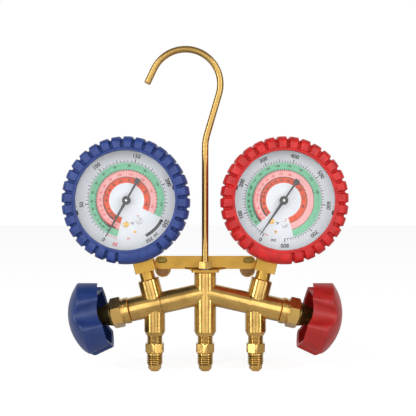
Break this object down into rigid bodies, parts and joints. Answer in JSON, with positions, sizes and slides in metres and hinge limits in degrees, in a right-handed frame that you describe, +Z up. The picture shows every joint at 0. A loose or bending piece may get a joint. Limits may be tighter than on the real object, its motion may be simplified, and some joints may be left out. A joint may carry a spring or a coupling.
{
  "type": "refrigerant manifold gauge",
  "caption": "Two-valve brass service manifold with two booted dial gauges, four-lobed hand knobs, three flare ports and a hanging hook.",
  "frame": {"origin": "on the charging port's axis, at the lower end of its thread", "axes": "+Z up to the hook, +X to the high side, gauges face -Y"},
  "size_m": [0.1966, 0.0532, 0.2289],
  "materials": {
    "brass_body": "machined",
    "brass_dark": "satin",
    "brass_hook": "yellow passivated",
    "steel_dark": "oiled",
    "steel_case": "satin",
    "bezel_black": "satin",
    "rubber_blue": "moulded",
    "rubber_red": "moulded",
    "rubber_black": "moulded",
    "knob_blue": "gloss",
    "knob_red": "gloss",
    "lens_clear": "clear",
    "dial_face": "printed",
    "pointer_grey": "matt",
    "bronze_spring": "bright"
  },
  "bodies": {
    "manifold": {"manifold_body": "brass_body", "charging_fitting": "brass_body", "low_side_fitting": "brass_body", "high_side_fitting": "brass_body", "hook_bracket": "brass_body", "hook_lock_washer": "steel_dark", "low_parking_stud": "brass_body", "high_parking_stud": "brass_body", "low_bonnet": "brass_body", "low_gland": "brass_dark", "low_gauge_socket": "brass_body", "low_gauge_case": "steel_case", "low_bezel_ring": "bezel_black", "low_gauge_boot": "rubber_blue", "low_lens": "lens_clear", "low_lens_gasket": "rubber_black", "low_dial": "dial_face", "low_dial_screws": "brass_body", "low_bourdon_tube": "bronze_spring", "low_tube_tip": "brass_body", "low_movement_frame": "brass_body", "low_hairspring": "bronze_spring", "high_bonnet": "brass_body", "high_gland": "brass_dark", "high_gauge_socket": "brass_body", "high_gauge_case": "steel_case", "high_bezel_ring": "bezel_black", "high_gauge_boot": "rubber_red", "high_lens": "lens_clear", "high_lens_gasket": "rubber_black", "high_dial": "dial_face", "high_dial_screws": "brass_body", "high_bourdon_tube": "bronze_spring", "high_tube_tip": "brass_body", "high_movement_frame": "brass_body", "high_hairspring": "bronze_spring"},
    "hook": {"hanging_hook": "brass_hook", "hook_nut": "brass_body"},
    "low_seat": {"low_seat_disc": "brass_body"},
    "low_knob": {"low_valve_stem": "brass_body", "low_stem_orings": "rubber_black", "low_valve_knob": "knob_blue", "low_knob_screw": "brass_body"},
    "low_pointer": {"low_pointer": "pointer_grey", "low_pinion_shaft": "brass_body"},
    "low_sector": {"low_sector_gear": "brass_body"},
    "low_link": {"low_tip_link": "brass_body"},
    "high_seat": {"high_seat_disc": "brass_body"},
    "high_knob": {"high_valve_stem": "brass_body", "high_stem_orings": "rubber_black", "high_valve_knob": "knob_red", "high_knob_screw": "brass_body"},
    "high_pointer": {"high_pointer": "pointer_grey", "high_pinion_shaft": "brass_body"},
    "high_sector": {"high_sector_gear": "brass_body"},
    "high_link": {"high_tip_link": "brass_body"}
  },
  "joints": [
    {"name": "hook_swivel", "type": "hinge", "parent": "manifold", "child": "hook", "pos_m": [0, 0, 0.06], "axis": [0, 0, 1], "range_deg": [-180, 180]},
    {"name": "low_seat_lift", "type": "slide", "parent": "manifold", "child": "low_seat", "axis": [-0.9759, 0, -0.2181], "range_m": [0, 0.00254]},
    {"name": "low_knob_turn", "type": "hinge", "parent": "low_seat", "child": "low_knob", "pos_m": [-0.02928, 0, 0.04306], "axis": [-0.9759, 0, -0.2181], "range_deg": [0, 720]},
    {"name": "low_pointer_turn", "type": "hinge", "parent": "manifold", "child": "low_pointer", "pos_m": [-0.0544, 0, 0.11476], "axis": [0, 1, 0], "range_deg": [-16, 300]},
    {"name": "low_sector_swing", "type": "hinge", "parent": "manifold", "child": "low_sector", "pos_m": [-0.03559, 0, 0.11293], "axis": [0, 1, 0], "range_deg": [-37.5, 2]},
    {"name": "low_link_swing", "type": "hinge", "parent": "low_sector", "child": "low_link", "pos_m": [-0.03619, 0, 0.10696], "axis": [0, 1, 0], "range_deg": [-2, 37.5]},
    {"name": "high_seat_lift", "type": "slide", "parent": "manifold", "child": "high_seat", "axis": [0.9759, 0, -0.2181], "range_m": [0, 0.00254]},
    {"name": "high_knob_turn", "type": "hinge", "parent": "high_seat", "child": "high_knob", "pos_m": [0.02928, 0, 0.04306], "axis": [0.9759, 0, -0.2181], "range_deg": [0, 720]},
    {"name": "high_pointer_turn", "type": "hinge", "parent": "manifold", "child": "high_pointer", "pos_m": [0.0544, 0, 0.11476], "axis": [0, 1, 0], "range_deg": [0, 324]},
    {"name": "high_sector_swing", "type": "hinge", "parent": "manifold", "child": "high_sector", "pos_m": [0.06997, 0, 0.10404], "axis": [0, 1, 0], "range_deg": [-40.5, 0]},
    {"name": "high_link_swing", "type": "hinge", "parent": "high_sector", "child": "high_link", "pos_m": [0.06655, 0, 0.09911], "axis": [0, 1, 0], "range_deg": [0, 40.5]}
  ],
  "couplings": [
    {"joint": "low_seat_lift", "follows": "low_knob_turn", "m_per_rad": 0.00020213},
    {"joint": "low_sector_swing", "follows": "low_pointer_turn", "ratio": -0.125},
    {"joint": "low_link_swing", "follows": "low_pointer_turn", "ratio": 0.125},
    {"joint": "high_seat_lift", "follows": "high_knob_turn", "m_per_rad": 0.00020213},
    {"joint": "high_sector_swing", "follows": "high_pointer_turn", "ratio": -0.125},
    {"joint": "high_link_swing", "follows": "high_pointer_turn", "ratio": 0.125}
  ]
}
